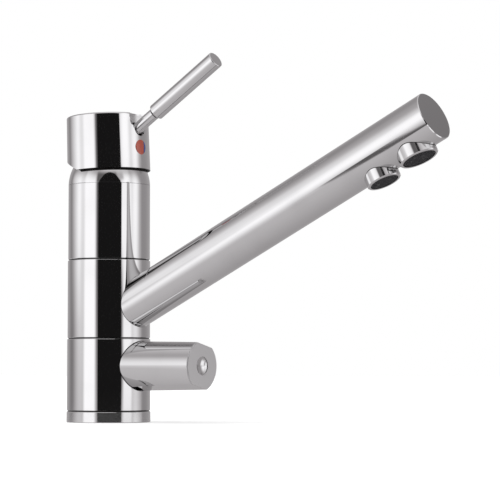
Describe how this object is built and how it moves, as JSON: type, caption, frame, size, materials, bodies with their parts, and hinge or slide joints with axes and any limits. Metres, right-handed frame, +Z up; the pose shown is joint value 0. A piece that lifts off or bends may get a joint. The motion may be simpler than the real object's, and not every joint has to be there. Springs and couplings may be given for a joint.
{
  "type": "three-way filtered kitchen tap",
  "caption": "Kitchen mixer tap with a tilted single lever, a swivelling round spout with two outlets, and a side knob that turns on filtered water.",
  "frame": {"origin": "mouth of the fixing stud's hole, in the middle of the base, on the deck", "axes": "+Z up along the pillar, +X along the closed spout, lever and filter knob, +Y to the left of the spout seen from behind the tap"},
  "size_m": [0.2565, 0.05, 0.2154],
  "materials": {
    "chrome": "bright polished chrome plate on brass",
    "brass": "machined brass",
    "rubber": "matt black nitrile rubber",
    "aerator_plastic": "black moulded plastic with a fine mesh face",
    "white_plastic": "white acetal",
    "grey_plastic": "grey glass-filled nylon",
    "ceramic": "lapped ivory ceramic",
    "steel": "stainless steel, turned",
    "hose_plastic": "translucent white polyethylene hose",
    "index_plastic": "glossy plastic, red on one half and blue on the other"
  },
  "bodies": {
    "pillar": {"base_ring": "chrome", "base_gasket": "rubber", "lower_body": "chrome", "core_column": "brass", "core_o_rings": "rubber", "core_joint_seals": "rubber", "lower_slip_ring": "white_plastic", "upper_slip_ring": "white_plastic", "upper_body": "chrome", "valve_headwork": "brass", "valve_seat_seal": "rubber", "valve_fixed_disc": "ceramic", "cartridge_base": "white_plastic", "cartridge_seals": "rubber", "fixed_disc": "ceramic", "cartridge_shell": "white_plastic", "cartridge_nut": "brass", "shoulder_ring": "chrome"},
    "spout": {"spout_ring": "chrome", "spout_tube": "chrome", "spout_end_disc": "chrome", "hose_nipple": "brass", "filter_hose": "hose_plastic", "main_outlet_bush": "chrome", "main_aerator_seal": "rubber", "main_aerator_housing": "chrome", "main_aerator_insert": "aerator_plastic", "filter_outlet_bush": "chrome", "filter_aerator_seal": "rubber", "filter_aerator_housing": "chrome", "filter_aerator_insert": "aerator_plastic"},
    "filter_valve": {"valve_moving_disc": "ceramic", "valve_stem": "brass", "valve_stem_o_rings": "rubber", "filter_handle": "chrome", "handle_screw": "steel", "handle_plug": "chrome"},
    "rotor": {"cartridge_rotor": "grey_plastic", "pivot_pin": "steel"},
    "lever": {"lever_spindle": "steel", "handle_cap": "chrome", "set_screw": "steel", "lever_neck": "chrome", "lever_grip": "chrome", "index_button": "index_plastic"},
    "mixing_disc": {"moving_disc": "ceramic", "disc_carrier": "white_plastic"}
  },
  "joints": [
    {"name": "spout_swivel", "type": "hinge", "parent": "pillar", "child": "spout", "pos_m": [0, 0, 0.07325], "axis": [0, 0, 1], "continuous": true},
    {"name": "filter_valve_turn", "type": "hinge", "parent": "pillar", "child": "filter_valve", "pos_m": [0.04, 0, 0.03345], "axis": [1, 0, 0], "range_deg": [0, 90]},
    {"name": "lever_turn", "type": "hinge", "parent": "pillar", "child": "rotor", "pos_m": [0, 0, 0.141], "axis": [0, 0, 1], "range_deg": [-45, 45]},
    {"name": "lever_lift", "type": "hinge", "parent": "rotor", "child": "lever", "pos_m": [0, 0, 0.141], "axis": [0, -1, 0], "range_deg": [0, 22]},
    {"name": "disc_slide", "type": "slide", "parent": "rotor", "child": "mixing_disc", "axis": [1, 0, 0], "range_m": [0, 0.0053]}
  ],
  "couplings": [
    {"joint": "disc_slide", "follows": "lever_lift", "m_per_rad": 0.013546}
  ]
}
